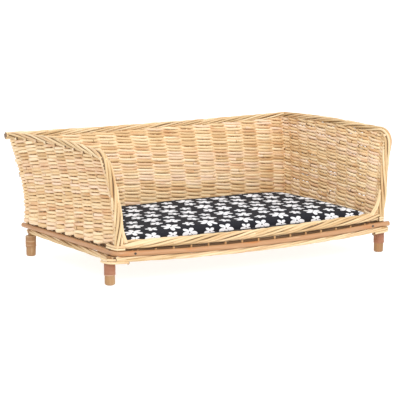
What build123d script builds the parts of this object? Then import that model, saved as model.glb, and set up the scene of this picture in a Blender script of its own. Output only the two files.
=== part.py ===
from build123d import *
import os

# Wicker pet bed basket on four stick legs, open at the front, with a loose zipped cushion.
# Millimetres. +X is the sitter's right seen from the open front, +Y is the back, +Z is up.
# The origin is on the floor, under the middle of the basket.

CLEAR = 0.1             # gap left between two pieces that only touch

# Legs: a stick with a tenon that enters the foot border
LEG_X = 408.0
LEG_FRONT_Y = -226.5
LEG_BACK_Y = 205.5
LEG_R = 12.5
LEG_SHOULDER_Z = 54.5
TENON_R = 7.0
TENON_TOP_Z = 73.4
BINDING_FOOT_Z = 23.0
BINDING_WALL = 2.0
SKEIN_WIDE = 2.6        # width of one turn of the leg binding
GROOVE = 0.5
FOOT_ROUND = 3.0
SHOULDER_CHAMFER = 1.0

# Base hoop: two bent rods, and the twisted border that hangs under them
HOOP_R = 6.5
HOOP_Z = 80.0
HOOP_BACK_X = 410.0
HOOP_FRONT_X = 405.0
HOOP_BACK_Y = 214.0
HOOP_FRONT_Y = -257.0
HOOP_BEND_R = 20.0
HOOP_OVERRUN = 11.0     # how far a rod runs past the rod it crosses
FRONT_BOW = 18.0        # the front edge bows out this much at its middle
HOOP_SAG = 6.5          # and hangs down this much
BORDER_Z = 63.5
BORDER_INSET = 3.5      # the border hangs this far inside the hoop's middle
BORDER_WIDE = 10.0      # half width and half height of the foot border
BORDER_HIGH = 8.5
BORDER_SAG = 5.5

# Walls: centre line of the weave, upright at the foot and flared towards the rim
WALL_FOOT_Z = 93.0
WALE_TOP_Z = 145.0
FLARE_Z = 150.0         # the flare starts here
POST_FOOT = (393.0, -247.0)
POST_TOP = (424.0, -232.5)
POST_TOP_Z = 321.0
CORNER_FOOT = (411.0, 212.0)
CORNER_TOP = (437.0, 269.0)
CORNER_TOP_Z = 316.0
SIDE_RIM_Z = 327.0      # middle of the side rim
BACK_RIM_Z = 312.5      # middle of the back rim
SIDE_BOW = 12.0         # the side rim bows inwards at its middle
WEAVE_HALF = 8.0        # half the thickness of the weave
WALL_CORNER_R = 12.0
PANEL_TOP_Z = 313.0     # hidden inside the rolled borders
WALL_SECTIONS = 7

# Sticks and rolled borders
STAKE_R = 3.0
STAKE_FOOT_Z = 73.0
STAKE_INSET = 10.5      # the stakes pass this far inside the middle of the hoop
BACK_STAKE_SPAN = 386.8
BACK_STAKES = 17
SIDE_STAKES = 9
SIDE_STAKE_SHARE = 0.1
POST_R = 5.0
ROLL_R = 12.5
POST_BEND_R = 28.0
SILL_STAKE_R = 2.5
SILL_STAKE_SPAN = 343.0
SILL_STAKES = 15
SILL_R = 12.5
SILL_Z = 98.5
SILL_STEP = 10.0        # the sill stands this far behind the hoop
SILL_SAG = 3.0
STANDING_Z = 88.0       # posts, corner stakes and post rolls stand on the hoop here

# Floor
FLOOR_X = 388.0
FLOOR_FRONT_Y = -238.0
FLOOR_BACK_Y = 197.0
FLOOR_Z = 72.5
FLOOR_THICK = 14.0
BAR_X = 358.0
BAR_R = 5.5
FLOOR_STICK_R = 4.5
STICK_SPAN = 300.0
FLOOR_CORNER_R = 15.0
FLOOR_STICK_COUNT = 11

# Nails and tacks
LEG_NAIL_X = 406.8
LEG_NAIL_R = 1.5
LEG_NAIL_LENGTH = 42.0
HOOP_NAIL_R = 1.2
HOOP_NAIL_LENGTH = 32.0
NAIL_HEAD_R = 3.0
NAIL_HEAD_THICK = 1.2
NAIL_GAP = 0.05
TACK_R = 1.8
TACK_LENGTH = 2.8

# Cushion and its zip
CUSHION_X = 370.0
CUSHION_FRONT_Y = -234.0
CUSHION_BACK_Y = 181.0
CUSHION_Z = 87.0
CUSHION_THICK = 32.0
CUSHION_CORNER_R = 22.0
CUSHION_EDGE_R = 8.0
COVER_THICK = 1.2
ZIP_X = 290.0           # half length of the zip
ZIP_Z = CUSHION_Z + CUSHION_THICK / 2
TAPE_WIDE = 6.4
TAPE_THICK = 0.8
TAPE_GAP = 0.6
COIL_WIDE = 3.6
COIL_THICK = 1.8
SLIDER_LONG = 10.0
SLIDER_WALL = 1.4
SLIDER_GAP = 0.3
PULL_LONG = 15.0
PULL_WIDE = 5.0
PULL_THICK = 1.4
PULL_WALL = 1.0
STOP_LONG = 3.0
PIN_R = 0.82
PIN_RISE = 2.2
EYE_R = 0.9


def blend(start, end, share):
    return start + (end - start) * share


def flare(z):
    """0 where the wall is upright, 1 at the height of the front post's top."""
    return max(0.0, (z - FLARE_Z) / (POST_TOP_Z - FLARE_Z)) ** 2


def post_point(z):
    return [blend(POST_FOOT[i], POST_TOP[i], flare(z)) for i in range(2)]


def corner_point(z):
    rim_flare = flare(z) / flare(CORNER_TOP_Z)
    return [blend(CORNER_FOOT[i], CORNER_TOP[i], rim_flare) for i in range(2)]


def side_point(share, z):
    """Centre of the right wall, from its front post (0) to its back corner (1)."""
    front, back = post_point(z), corner_point(z)
    bow = SIDE_BOW * 4 * share * (1 - share) * flare(z)
    return blend(front[0], back[0], share) - bow, blend(front[1], back[1], share)


def back_point(offset, z):
    """Centre of the back wall, at this distance from its middle at the foot."""
    x, y = corner_point(z)
    return offset * x / CORNER_FOOT[0], y


def hoop_x(y):
    return blend(HOOP_FRONT_X, HOOP_BACK_X, (y - HOOP_FRONT_Y) / (HOOP_BACK_Y - HOOP_FRONT_Y))


def front_share(x):
    """1 at the middle of the front edge, 0 at the corner bends and past them."""
    return max(0.0, 1 - (x / (HOOP_FRONT_X - HOOP_BEND_R)) ** 2)


def front_y(x):
    return HOOP_FRONT_Y - FRONT_BOW * front_share(x)


def side_rim_z(share):
    ends = blend(POST_TOP_Z, CORNER_TOP_Z, share)
    middle = (POST_TOP_Z + CORNER_TOP_Z) / 2
    return ends + (SIDE_RIM_Z - middle) * 4 * share * (1 - share)


def back_rim_z(x):
    return blend(BACK_RIM_Z, CORNER_TOP_Z, (x / CORNER_TOP[0]) ** 2)


def spread(low, high, count):
    return [blend(low, high, i / (count - 1)) for i in range(count)]


def upright(point, top_z, radius):
    """A stick that stands straight on the hoop, then flares along an arc to its top."""
    foot, bend, top = [(*point(z), z) for z in (STANDING_Z, FLARE_Z, top_z)]
    with BuildPart() as stick:
        with BuildLine() as path:
            Line(foot, bend)
            TangentArc(bend, top, tangent=(0, 0, 1))
        with BuildSketch(Plane.XY.offset(STANDING_Z)):
            with Locations(foot[:2]):
                Circle(radius)
        sweep(path=path.line)
    return stick.part


def bowed(points, wide, high):
    """A bundle of oval section along the arc through three points."""
    with BuildPart() as bundle:
        with BuildLine() as path:
            ThreePointArc(*points)
        across = Vector(0, 0, 1).cross(path.line % 0)
        with BuildSketch(Plane(origin=path.line @ 0, x_dir=across, z_dir=path.line % 0)):
            Ellipse(wide, high)
        sweep(path=path.line)
    return bundle.part


def front_points(reach, step_back, z, sag):
    """Left end, middle and right end of a run along the bowed, sagging front edge."""
    return [(x, front_y(x) + step_back, z - sag * front_share(x)) for x in (-reach, 0, reach)]


pieces = {}

# ---------------------------------------------------------------- base hoop

leg_nail_spots = [(x, y) for x in (-LEG_NAIL_X, LEG_NAIL_X) for y in (LEG_FRONT_Y, LEG_BACK_Y)]
bar_front_y = front_y(BAR_X)
bar_nail_z = HOOP_Z - HOOP_SAG * front_share(BAR_X)


def drill_hoop():
    """Holes through the open BuildPart for the leg nails and the hoop nails."""
    with BuildSketch(Plane.XY.offset(HOOP_Z + HOOP_R + CLEAR)) as holes:
        with Locations(*leg_nail_spots):
            Circle(LEG_NAIL_R + NAIL_GAP)
    extrude(holes.sketch, amount=-LEG_NAIL_LENGTH, mode=Mode.SUBTRACT)
    for y, inward in ((bar_front_y - HOOP_R, -1), (HOOP_BACK_Y + HOOP_R, 1)):
        with BuildSketch(Plane.XZ.offset(-y)) as holes:
            with Locations((-BAR_X, bar_nail_z), (BAR_X, bar_nail_z)):
                Circle(HOOP_NAIL_R + NAIL_GAP)
        extrude(holes.sketch, amount=inward * HOOP_NAIL_LENGTH, mode=Mode.SUBTRACT)


bend_x = HOOP_FRONT_X - HOOP_BEND_R

# First rod: left run, bend, bowed front run with a straight end
with BuildPart() as front_left_hoop:
    with BuildLine() as path:
        side_run = Line(
            (-HOOP_BACK_X, HOOP_BACK_Y + HOOP_OVERRUN, HOOP_Z),
            (-HOOP_FRONT_X, HOOP_FRONT_Y + HOOP_BEND_R, HOOP_Z),
        )
        front_run = ThreePointArc(*front_points(bend_x, 0, HOOP_Z, HOOP_SAG))
        Spline(side_run @ 1, front_run @ 0, tangents=(side_run % 1, front_run % 0))
        end = (HOOP_FRONT_X + HOOP_OVERRUN, HOOP_FRONT_Y, HOOP_Z)
        Spline(front_run @ 1, end, tangents=(front_run % 1, (1, 0, 0)))
    with BuildSketch(Plane(origin=side_run @ 0, z_dir=side_run % 0)):
        Circle(HOOP_R)
    sweep(path=path.line)
    drill_hoop()
pieces["base_hoop_front_left"] = front_left_hoop.part

# Second rod: back run, bend, right run. Its ends butt against the first rod.
with BuildPart() as back_right_hoop:
    butt = 2 * HOOP_R + CLEAR
    with BuildLine() as path:
        back_run = Line(
            (butt - HOOP_BACK_X, HOOP_BACK_Y, HOOP_Z),
            (HOOP_BACK_X - HOOP_BEND_R, HOOP_BACK_Y, HOOP_Z),
        )
        side_run = Line(
            (HOOP_BACK_X, HOOP_BACK_Y - HOOP_BEND_R, HOOP_Z),
            (HOOP_FRONT_X, HOOP_FRONT_Y + butt, HOOP_Z),
        )
        Spline(back_run @ 1, side_run @ 0, tangents=(back_run % 1, side_run % 0))
    with BuildSketch(Plane(origin=back_run @ 0, z_dir=back_run % 0)):
        Circle(HOOP_R)
    sweep(path=path.line)
    drill_hoop()
pieces["base_hoop_back_right"] = back_right_hoop.part

with BuildPart() as hoop_nails:
    for y, inward in ((bar_front_y - HOOP_R, -1), (HOOP_BACK_Y + HOOP_R, 1)):
        for radius, length in ((HOOP_NAIL_R, HOOP_NAIL_LENGTH), (NAIL_HEAD_R, -NAIL_HEAD_THICK)):
            with BuildSketch(Plane.XZ.offset(-y)):
                with Locations((-BAR_X, bar_nail_z), (BAR_X, bar_nail_z)):
                    Circle(radius)
            extrude(amount=inward * length)
pieces["hoop_nails"] = hoop_nails.part

# ---------------------------------------------------------------- foot border


front_reach = HOOP_FRONT_X + BORDER_WIDE / 2
back_reach = HOOP_BACK_X - BORDER_INSET - BORDER_WIDE - 1
side_ys = (HOOP_FRONT_Y + BORDER_INSET + BORDER_WIDE + CLEAR, HOOP_BACK_Y + HOOP_R)

pieces["foot_border_front"] = bowed(
    front_points(front_reach, BORDER_INSET, BORDER_Z, BORDER_SAG), BORDER_WIDE, BORDER_HIGH
)

with BuildPart() as foot_border_back:
    with BuildSketch(Plane.YZ.offset(-back_reach)):
        with Locations((HOOP_BACK_Y - BORDER_INSET, BORDER_Z)):
            Ellipse(BORDER_WIDE, BORDER_HIGH)
    extrude(amount=2 * back_reach)
pieces["foot_border_back"] = foot_border_back.part

with BuildPart() as foot_border_right:
    with BuildLine() as path:
        Line(*[(hoop_x(y) - BORDER_INSET, y, BORDER_Z) for y in side_ys])
    with BuildSketch(Plane(origin=path.line @ 0, x_dir=(-1, 0, 0), z_dir=path.line % 0)):
        Ellipse(BORDER_WIDE, BORDER_HIGH)
    sweep(path=path.line)
    with BuildSketch(Plane.XY.offset(BORDER_Z - BORDER_HIGH)):
        with Locations((LEG_X, LEG_FRONT_Y), (LEG_X, LEG_BACK_Y)):
            Circle(TENON_R + CLEAR)
    extrude(amount=2 * BORDER_HIGH, mode=Mode.SUBTRACT)
pieces["foot_border_right"] = foot_border_right.part
pieces["foot_border_left"] = mirror(foot_border_right.part, about=Plane.YZ)

# ---------------------------------------------------------------- legs

leg_spots = {
    "front_left": (-LEG_X, LEG_FRONT_Y),
    "front_right": (LEG_X, LEG_FRONT_Y),
    "back_left": (-LEG_X, LEG_BACK_Y),
    "back_right": (LEG_X, LEG_BACK_Y),
}


def leg_stick(x, y):
    with BuildPart() as leg:
        with BuildSketch(Plane.XY):
            with Locations((x, y)):
                Circle(LEG_R)
        extrude(amount=LEG_SHOULDER_Z)
        fillet(leg.edges().group_by(Axis.Z)[0], FOOT_ROUND)
        chamfer(leg.edges().group_by(Axis.Z)[-1], SHOULDER_CHAMFER)
        with BuildSketch(Plane.XY.offset(LEG_SHOULDER_Z)):
            with Locations((x, y)):
                Circle(TENON_R)
        extrude(amount=TENON_TOP_Z - LEG_SHOULDER_Z)
        nail_x = LEG_NAIL_X if x > 0 else -LEG_NAIL_X
        with BuildSketch(Plane.XY.offset(TENON_TOP_Z)):
            with Locations((nail_x, y)):
                Circle(LEG_NAIL_R + NAIL_GAP)
        extrude(amount=HOOP_Z + HOOP_R + CLEAR - LEG_NAIL_LENGTH - TENON_TOP_Z, mode=Mode.SUBTRACT)
    return leg.part


def leg_binding(x, y):
    """Skein wound round the stick: a sleeve with a shallow groove between its turns."""
    inside = LEG_R + CLEAR / 2
    outside = inside + BINDING_WALL
    turns = int((LEG_SHOULDER_Z - BINDING_FOOT_Z) / SKEIN_WIDE)
    outline = [(inside, 0)]
    for i in range(turns):
        foot = i * SKEIN_WIDE
        outline += [
            (outside - GROOVE, foot),
            (outside, foot + GROOVE),
            (outside, foot + SKEIN_WIDE - GROOVE),
        ]
    outline += [(outside - GROOVE, turns * SKEIN_WIDE), (inside, turns * SKEIN_WIDE)]
    with BuildPart() as binding:
        with BuildSketch(Plane((x, y, BINDING_FOOT_Z), x_dir=(-1, 0, 0), z_dir=(0, 1, 0))):
            with BuildLine():
                Polyline(*outline, close=True)
            make_face()
        revolve(axis=Axis((x, y, 0), (0, 0, 1)))
        with BuildSketch(tack_plane(x, y)):
            Circle(TACK_R + CLEAR)
        extrude(amount=TACK_LENGTH, mode=Mode.SUBTRACT)
    return binding.part


def tack_plane(x, y):
    """On the stick's surface, near the foot of the binding, facing +X."""
    return Plane(origin=(x + LEG_R + CLEAR / 2, y, BINDING_FOOT_Z + 1.5 * SKEIN_WIDE), z_dir=(1, 0, 0))


for corner, (x, y) in leg_spots.items():
    pieces[f"leg_{corner}"] = leg_stick(x, y)
    pieces[f"leg_binding_{corner}"] = leg_binding(x, y)

with BuildPart() as leg_tacks:
    for x, y in leg_spots.values():
        with BuildSketch(tack_plane(x, y)):
            Circle(TACK_R)
        extrude(amount=TACK_LENGTH)
    fillet(leg_tacks.edges().filter_by(GeomType.CIRCLE), TACK_R / 3)
pieces["leg_tacks"] = leg_tacks.part

with BuildPart() as leg_nails:
    head_z = HOOP_Z + HOOP_R + CLEAR
    for radius, length in ((LEG_NAIL_R, -LEG_NAIL_LENGTH), (NAIL_HEAD_R, NAIL_HEAD_THICK)):
        with BuildSketch(Plane.XY.offset(head_z)):
            with Locations(*leg_nail_spots):
                Circle(radius)
        extrude(amount=length)
pieces["leg_nails"] = leg_nails.part

# ---------------------------------------------------------------- floor

bar_reach = HOOP_R + 1
bar_length = HOOP_BACK_Y - bar_front_y - 2 * bar_reach


def floor_bar(x):
    """Bar between the front and back runs of the hoop, drilled for a nail at each end."""
    with BuildPart() as bar:
        with BuildSketch(Plane.XZ.offset(-(bar_front_y + bar_reach))):
            with Locations((x, FLOOR_Z + FLOOR_THICK / 2)):
                Circle(BAR_R)
        extrude(amount=-bar_length)
        for y, inward in ((bar_front_y + bar_reach, -1), (HOOP_BACK_Y - bar_reach, 1)):
            with BuildSketch(Plane.XZ.offset(-y)):
                with Locations((x, bar_nail_z)):
                    Circle(HOOP_NAIL_R + NAIL_GAP)
            extrude(amount=inward * (HOOP_NAIL_LENGTH - 2 * HOOP_R), mode=Mode.SUBTRACT)
    return bar.part


pieces["floor_bar_left"] = floor_bar(-BAR_X)
pieces["floor_bar_right"] = floor_bar(BAR_X)

floor_mid_z = FLOOR_Z + FLOOR_THICK / 2
stick_overhang = 2.5
stick_length = FLOOR_BACK_Y - FLOOR_FRONT_Y + 2 * stick_overhang
stick_xs = spread(-STICK_SPAN, STICK_SPAN, FLOOR_STICK_COUNT)

with BuildPart() as floor_sticks:
    with BuildSketch(Plane.XZ.offset(stick_overhang - FLOOR_FRONT_Y)):
        with Locations(*[(x, floor_mid_z) for x in stick_xs]):
            Circle(FLOOR_STICK_R)
    extrude(amount=-stick_length)
pieces["floor_sticks"] = floor_sticks.part

with BuildPart() as floor_weave:
    with BuildSketch(Plane.XY.offset(FLOOR_Z)):
        with Locations((0, (FLOOR_FRONT_Y + FLOOR_BACK_Y) / 2)):
            RectangleRounded(2 * FLOOR_X, FLOOR_BACK_Y - FLOOR_FRONT_Y, FLOOR_CORNER_R)
    extrude(amount=FLOOR_THICK)
    with BuildSketch(Plane.XZ.offset(stick_overhang - FLOOR_FRONT_Y)):
        with Locations(*[(x, floor_mid_z) for x in stick_xs]):
            Circle(FLOOR_STICK_R + CLEAR)
        with Locations((-BAR_X, floor_mid_z), (BAR_X, floor_mid_z)):
            Circle(BAR_R + CLEAR)
    extrude(amount=-stick_length, mode=Mode.SUBTRACT)
pieces["floor_weave"] = floor_weave.part

# ---------------------------------------------------------------- stakes, posts and rolls

with BuildPart() as front_sill_stakes:
    for x in spread(-SILL_STAKE_SPAN, SILL_STAKE_SPAN, SILL_STAKES):
        foot_z = STAKE_FOOT_Z - HOOP_SAG * front_share(x)
        top_z = SILL_Z - SILL_SAG * front_share(x) - SILL_R - CLEAR
        with BuildSketch(Plane.XY.offset(foot_z)):
            with Locations((x, front_y(x) + STAKE_INSET)):
                Circle(SILL_STAKE_R)
        extrude(amount=top_z - foot_z)
pieces["front_sill_stakes"] = front_sill_stakes.part

sill_reach = POST_FOOT[0] - ROLL_R - 1
pieces["front_sill_border"] = bowed(
    front_points(sill_reach, SILL_STEP, SILL_Z, SILL_SAG), SILL_R, SILL_R
)

back_stakes = []
for offset in spread(-BACK_STAKE_SPAN, BACK_STAKE_SPAN, BACK_STAKES):
    top_z = back_rim_z(offset) - ROLL_R - 1
    back_stakes.append(upright(lambda z: back_point(offset, z), top_z, STAKE_R).solid())
pieces["back_wall_stakes"] = Compound(back_stakes)

side_stakes = []
for share in spread(SIDE_STAKE_SHARE, 1 - SIDE_STAKE_SHARE, SIDE_STAKES):
    top_z = side_rim_z(share) - ROLL_R - 1
    side_stakes.append(upright(lambda z: side_point(share, z), top_z, STAKE_R).solid())
pieces["right_wall_stakes"] = Compound(side_stakes)

pieces["corner_stake_right"] = upright(corner_point, CORNER_TOP_Z - ROLL_R - 4, POST_R)
pieces["front_post_right"] = upright(post_point, POST_TOP_Z - POST_BEND_R, POST_R)

roll_reach = CORNER_TOP[0] + ROLL_R
back_roll_points = [(x, CORNER_TOP[1], back_rim_z(x)) for x in (-roll_reach, 0, roll_reach)]
pieces["back_border"] = bowed(back_roll_points, ROLL_R, ROLL_R)

# The side roll climbs the front post, turns over its top and runs back along the rim.
rim_depth = CORNER_TOP[1] - POST_TOP[1]
rim_shares = (POST_BEND_R / rim_depth, 0.5, 1 - (ROLL_R + CLEAR) / rim_depth)
rim_points = [(*side_point(share, side_rim_z(share)), side_rim_z(share)) for share in rim_shares]
with BuildPart() as side_border_right:
    foot, flare_start, top = [
        (*post_point(z), z) for z in (STANDING_Z, FLARE_Z, POST_TOP_Z - POST_BEND_R)
    ]
    with BuildLine() as path:
        Line(foot, flare_start)
        climb = TangentArc(flare_start, top, tangent=(0, 0, 1))
        rim = ThreePointArc(*rim_points)
        Spline(climb @ 1, rim @ 0, tangents=(climb % 1, rim % 0))
    with BuildSketch(Plane.XY.offset(STANDING_Z)):
        with Locations(foot[:2]):
            Circle(ROLL_R)
    sweep(path=path.line)
pieces["side_border_right"] = side_border_right.part

# ---------------------------------------------------------------- woven walls


def back_panel(low, high):
    """Back weave between two heights. The stakes and the roll are worked into it."""
    with BuildPart() as panel:
        for z in spread(low, high, WALL_SECTIONS):
            x, y = corner_point(z)
            with BuildSketch(Plane.XY.offset(z)) as section:
                with Locations((0, y)):
                    Rectangle(2 * (x + WEAVE_HALF), 2 * WEAVE_HALF)
                fillet(section.vertices().group_by(Axis.Y)[-1], WALL_CORNER_R)
        loft()
    return panel.part


def side_panel(low, high):
    """Right weave between two heights, from the post roll to the back panel."""
    with BuildPart() as panel:
        for z in spread(low, high, WALL_SECTIONS):
            depth = corner_point(z)[1] - post_point(z)[1]
            end_share = 1 - (WEAVE_HALF + CLEAR) / depth
            centre = [side_point(share, z) for share in (0, end_share / 2, end_share)]
            with BuildSketch(Plane.XY.offset(z)):
                with BuildLine():
                    outside = Spline(*[(x + WEAVE_HALF, y) for x, y in centre])
                    inside = Spline(*[(x - WEAVE_HALF, y) for x, y in centre])
                    Line(outside @ 0, inside @ 0)
                    Line(outside @ 1, inside @ 1)
                make_face()
        loft()
    return panel.part


pieces["back_wall_wale"] = back_panel(WALL_FOOT_Z, WALE_TOP_Z)
pieces["back_wall_weave"] = back_panel(WALE_TOP_Z + CLEAR, PANEL_TOP_Z)
pieces["right_wall_wale"] = side_panel(WALL_FOOT_Z, WALE_TOP_Z)
pieces["right_wall_weave"] = side_panel(WALE_TOP_Z + CLEAR, PANEL_TOP_Z)

# The left side mirrors the right.
for name in (
    "right_wall_stakes",
    "right_wall_wale",
    "right_wall_weave",
    "corner_stake_right",
    "front_post_right",
    "side_border_right",
):
    pieces[name.replace("right", "left")] = mirror(pieces[name], about=Plane.YZ)

# ---------------------------------------------------------------- cushion


def pad(inset):
    """The cushion's box, shrunk by the inset on every side."""
    with BuildPart() as block:
        with BuildSketch(Plane.XY.offset(CUSHION_Z + inset)):
            with Locations((0, (CUSHION_FRONT_Y + CUSHION_BACK_Y) / 2)):
                RectangleRounded(
                    2 * (CUSHION_X - inset),
                    CUSHION_BACK_Y - CUSHION_FRONT_Y - 2 * inset,
                    CUSHION_CORNER_R - inset,
                )
        extrude(amount=CUSHION_THICK - 2 * inset)
        rims = block.faces().filter_by(Axis.Z).edges()
        fillet(rims, CUSHION_EDGE_R - inset)
    return block.part


cavity = pad(COVER_THICK)

with BuildPart() as cushion_cover:
    add(pad(0))
    add(cavity, mode=Mode.SUBTRACT)
    with BuildSketch(Plane.XZ.offset(-CUSHION_BACK_Y - CLEAR)):
        with Locations((0, ZIP_Z)):
            Rectangle(2 * ZIP_X, 4 * TAPE_GAP)
    extrude(amount=2 * COVER_THICK, mode=Mode.SUBTRACT)
pieces["cushion_cover"] = cushion_cover.part
pieces["cushion_filling"] = pad(COVER_THICK + CLEAR)

tape_y = CUSHION_BACK_Y + CLEAR
coil_y = tape_y + TAPE_THICK + CLEAR
coil_top_y = coil_y + COIL_THICK

with BuildPart() as zip_tapes:
    with BuildSketch(Plane.XZ.offset(-tape_y)):
        for side in (-1, 1):
            with Locations((0, ZIP_Z + side * (TAPE_GAP + TAPE_WIDE) / 2)):
                Rectangle(2 * ZIP_X + 4 * STOP_LONG, TAPE_WIDE)
    extrude(amount=-TAPE_THICK)
pieces["zip_tapes"] = zip_tapes.part

with BuildPart() as zip_coil:
    with BuildSketch(Plane.XZ.offset(-coil_y)):
        with Locations((0, ZIP_Z)):
            Rectangle(2 * ZIP_X, COIL_WIDE)
    extrude(amount=-COIL_THICK)
    fillet(zip_coil.faces().sort_by(Axis.Y)[-1].edges().filter_by(Axis.X), COIL_THICK / 3)
pieces["zip_coil"] = zip_coil.part

with BuildPart() as zip_stops:
    with BuildSketch(Plane.XZ.offset(-coil_y)):
        with Locations((-ZIP_X - STOP_LONG, ZIP_Z), (ZIP_X + STOP_LONG, ZIP_Z)):
            RectangleRounded(STOP_LONG, COIL_WIDE + STOP_LONG / 2, STOP_LONG / 4)
    extrude(amount=-COIL_THICK)
pieces["zip_stops"] = zip_stops.part

# Slider: a channel that rides over the coil, with two lugs and a pin for the pull
slider_x = ZIP_X - SLIDER_LONG
channel_half = COIL_WIDE / 2 + SLIDER_GAP
slider_half = channel_half + SLIDER_WALL
slider_top_y = coil_top_y + SLIDER_GAP + SLIDER_WALL
pin_y = slider_top_y + PIN_RISE
lug_wide = slider_half - PULL_WIDE / 2 - CLEAR

with BuildPart() as zip_slider:
    with BuildSketch(Plane.XZ.offset(-coil_y)):
        with Locations((slider_x, ZIP_Z)):
            RectangleRounded(SLIDER_LONG, 2 * slider_half, SLIDER_WALL)
    extrude(amount=coil_y - slider_top_y)
    with BuildSketch(Plane.XZ.offset(-coil_y)):
        with Locations((slider_x, ZIP_Z)):
            Rectangle(2 * SLIDER_LONG, 2 * channel_half)
    extrude(amount=-COIL_THICK - SLIDER_GAP, mode=Mode.SUBTRACT)
    for side in (-1, 1):
        with BuildSketch(Plane.XY.offset(ZIP_Z + side * (slider_half - lug_wide / 2))):
            with Locations((slider_x, slider_top_y)):
                Rectangle(4 * PIN_R, PIN_RISE, align=(Align.CENTER, Align.MIN))
            with Locations((slider_x, pin_y)):
                Circle(2 * PIN_R)
        extrude(amount=lug_wide / 2, both=True)
    with BuildSketch(Plane.XY.offset(ZIP_Z - slider_half)):
        with Locations((slider_x, pin_y)):
            Circle(PIN_R)
    extrude(amount=2 * slider_half)
pieces["zip_slider"] = zip_slider.part

with BuildPart() as zip_pull:
    with BuildSketch(Plane.XY.offset(ZIP_Z - PULL_WIDE / 2)):
        with Locations((slider_x, pin_y)):
            Circle(EYE_R + PULL_WALL)
            Rectangle(PULL_LONG, PULL_THICK, align=(Align.MAX, Align.CENTER))
            Circle(EYE_R, mode=Mode.SUBTRACT)
    extrude(amount=PULL_WIDE)
    with BuildSketch(Plane.XZ.offset(-pin_y)):
        with Locations((slider_x - PULL_LONG + PULL_WIDE / 2, ZIP_Z)):
            Circle(PULL_WIDE / 4)
    extrude(amount=PULL_THICK, both=True, mode=Mode.SUBTRACT)
    tip = zip_pull.edges().filter_by(Axis.Y).group_by(Axis.X)[0]
    fillet(tip, PULL_WIDE / 3)
pieces["zip_pull"] = zip_pull.part

# ---------------------------------------------------------------- export

os.makedirs("parts", exist_ok=True)
for name, piece in pieces.items():
    piece.label = name
    export_step(piece, f"parts/{name}.step")
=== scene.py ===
import math

import bmesh
import bpy
import numpy as np
from mathutils import Matrix, Vector
from mathutils.bvhtree import BVHTree


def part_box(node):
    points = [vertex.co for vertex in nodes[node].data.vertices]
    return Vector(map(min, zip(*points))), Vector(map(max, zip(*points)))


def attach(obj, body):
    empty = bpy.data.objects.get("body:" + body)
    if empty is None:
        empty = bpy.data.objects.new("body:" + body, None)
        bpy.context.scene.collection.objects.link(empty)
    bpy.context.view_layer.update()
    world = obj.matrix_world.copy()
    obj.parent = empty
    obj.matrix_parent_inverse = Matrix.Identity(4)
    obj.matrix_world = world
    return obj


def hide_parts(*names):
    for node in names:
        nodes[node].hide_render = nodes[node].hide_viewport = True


# Looks of the wicker pet bed basket: woven walls, rolled borders, wound legs, printed cushion.
# Metres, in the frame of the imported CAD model. +Y is the back, +Z is up.

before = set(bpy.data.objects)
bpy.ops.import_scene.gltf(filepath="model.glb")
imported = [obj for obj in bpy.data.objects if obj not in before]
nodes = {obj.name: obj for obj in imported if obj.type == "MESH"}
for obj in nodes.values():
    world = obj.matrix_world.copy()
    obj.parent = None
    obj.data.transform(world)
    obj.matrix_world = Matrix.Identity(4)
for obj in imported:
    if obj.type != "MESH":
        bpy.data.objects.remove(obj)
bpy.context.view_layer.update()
rng = np.random.default_rng(11)

MM = 0.001

# Wall: the centre surface of the CAD panels, with a softer flare and two uneven places
FLARE_Z = 135 * MM      # upright below this height, flaring above it
FLARE_POWER = 1.6
RIGHT_LEAN = 7.5 * MM   # the right post stands this much further out, as hand work does
LEAN_RISE = 60 * MM     # above its foot the lean grows over this height
LEFT_BULGE = 7 * MM     # the back left corner bulges this much at its foot
POST_TOP_Z = 321 * MM
POST_FOOT = np.array((393, -247)) * MM
POST_TOP = np.array((424, -232.5)) * MM
CORNER_FOOT = np.array((411, 212)) * MM
CORNER_TOP = np.array((437, 269)) * MM
CORNER_TOP_Z = 316 * MM
SIDE_RIM_Z = 327 * MM
BACK_RIM_Z = 312.5 * MM
SIDE_BOW = 12 * MM
BACK_STAKE_SPAN = 386.8 * MM
SIDE_STEPS = 10         # stake steps along a side, post and corner included
BACK_STEPS = 18         # stake steps along the back, corner to corner
RIGHT_CORNER = SIDE_STEPS
LEFT_CORNER = SIDE_STEPS + BACK_STEPS
WALL_STEPS = LEFT_CORNER + SIDE_STEPS
WALLS = (
    ("right", 0, RIGHT_CORNER),
    ("back", RIGHT_CORNER, LEFT_CORNER),
    ("left", LEFT_CORNER, WALL_STEPS),
)
STAKE_R = 3 * MM
CORNER_STAKE_R = 4.2 * MM
POST_STICK_R = 5 * MM
STANDING_Z = 88 * MM    # the stakes and posts stand here, on the hoop
RIM_GAP = 8 * MM        # the stakes and the weave stop this far below the rim line

# Base hoop and foot border
HOOP_R = 6.5 * MM
HOOP_Z = 80 * MM
HOOP_BACK = np.array((410, 214)) * MM
HOOP_FRONT = np.array((405, -257)) * MM
HOOP_BEND = 20 * MM
FRONT_BOW = 18 * MM     # the front hoop bows forward and sags in its middle
HOOP_SAG = 9 * MM
FOOT_Z = 64.5 * MM
FOOT_INSET = 3.5 * MM   # the foot border hangs this far inside the hoop's line
FOOT_R = 8.4 * MM

# Rolled borders
SILL_ROLL_R = 11.5 * MM
POST_ROLL_R = 11.5 * MM
RIM_ROLL_R = 9.5 * MM
RIM_DROP = 2.5 * MM     # the thinner rim rolls sit a little lower than the CAD rolls' middle
RIM_OVERHANG = 9 * MM   # the back roll runs this far past the corners
SILL_Z = 100.5 * MM
SILL_STEP = 10 * MM     # the sill roll stands this far behind the hoop's line
SILL_SAG = 5 * MM
POST_BEND = 28 * MM     # reach of the bend over a post's top

# Cushion
pad_low, pad_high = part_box("cushion_cover")
pad_middle = (pad_low + pad_high) / 2
pad_reach = (pad_high - pad_low) / 2
CUSHION_CAP = 6 * MM    # no point of the cover swells further than this


# -------- shader graphs


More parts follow.
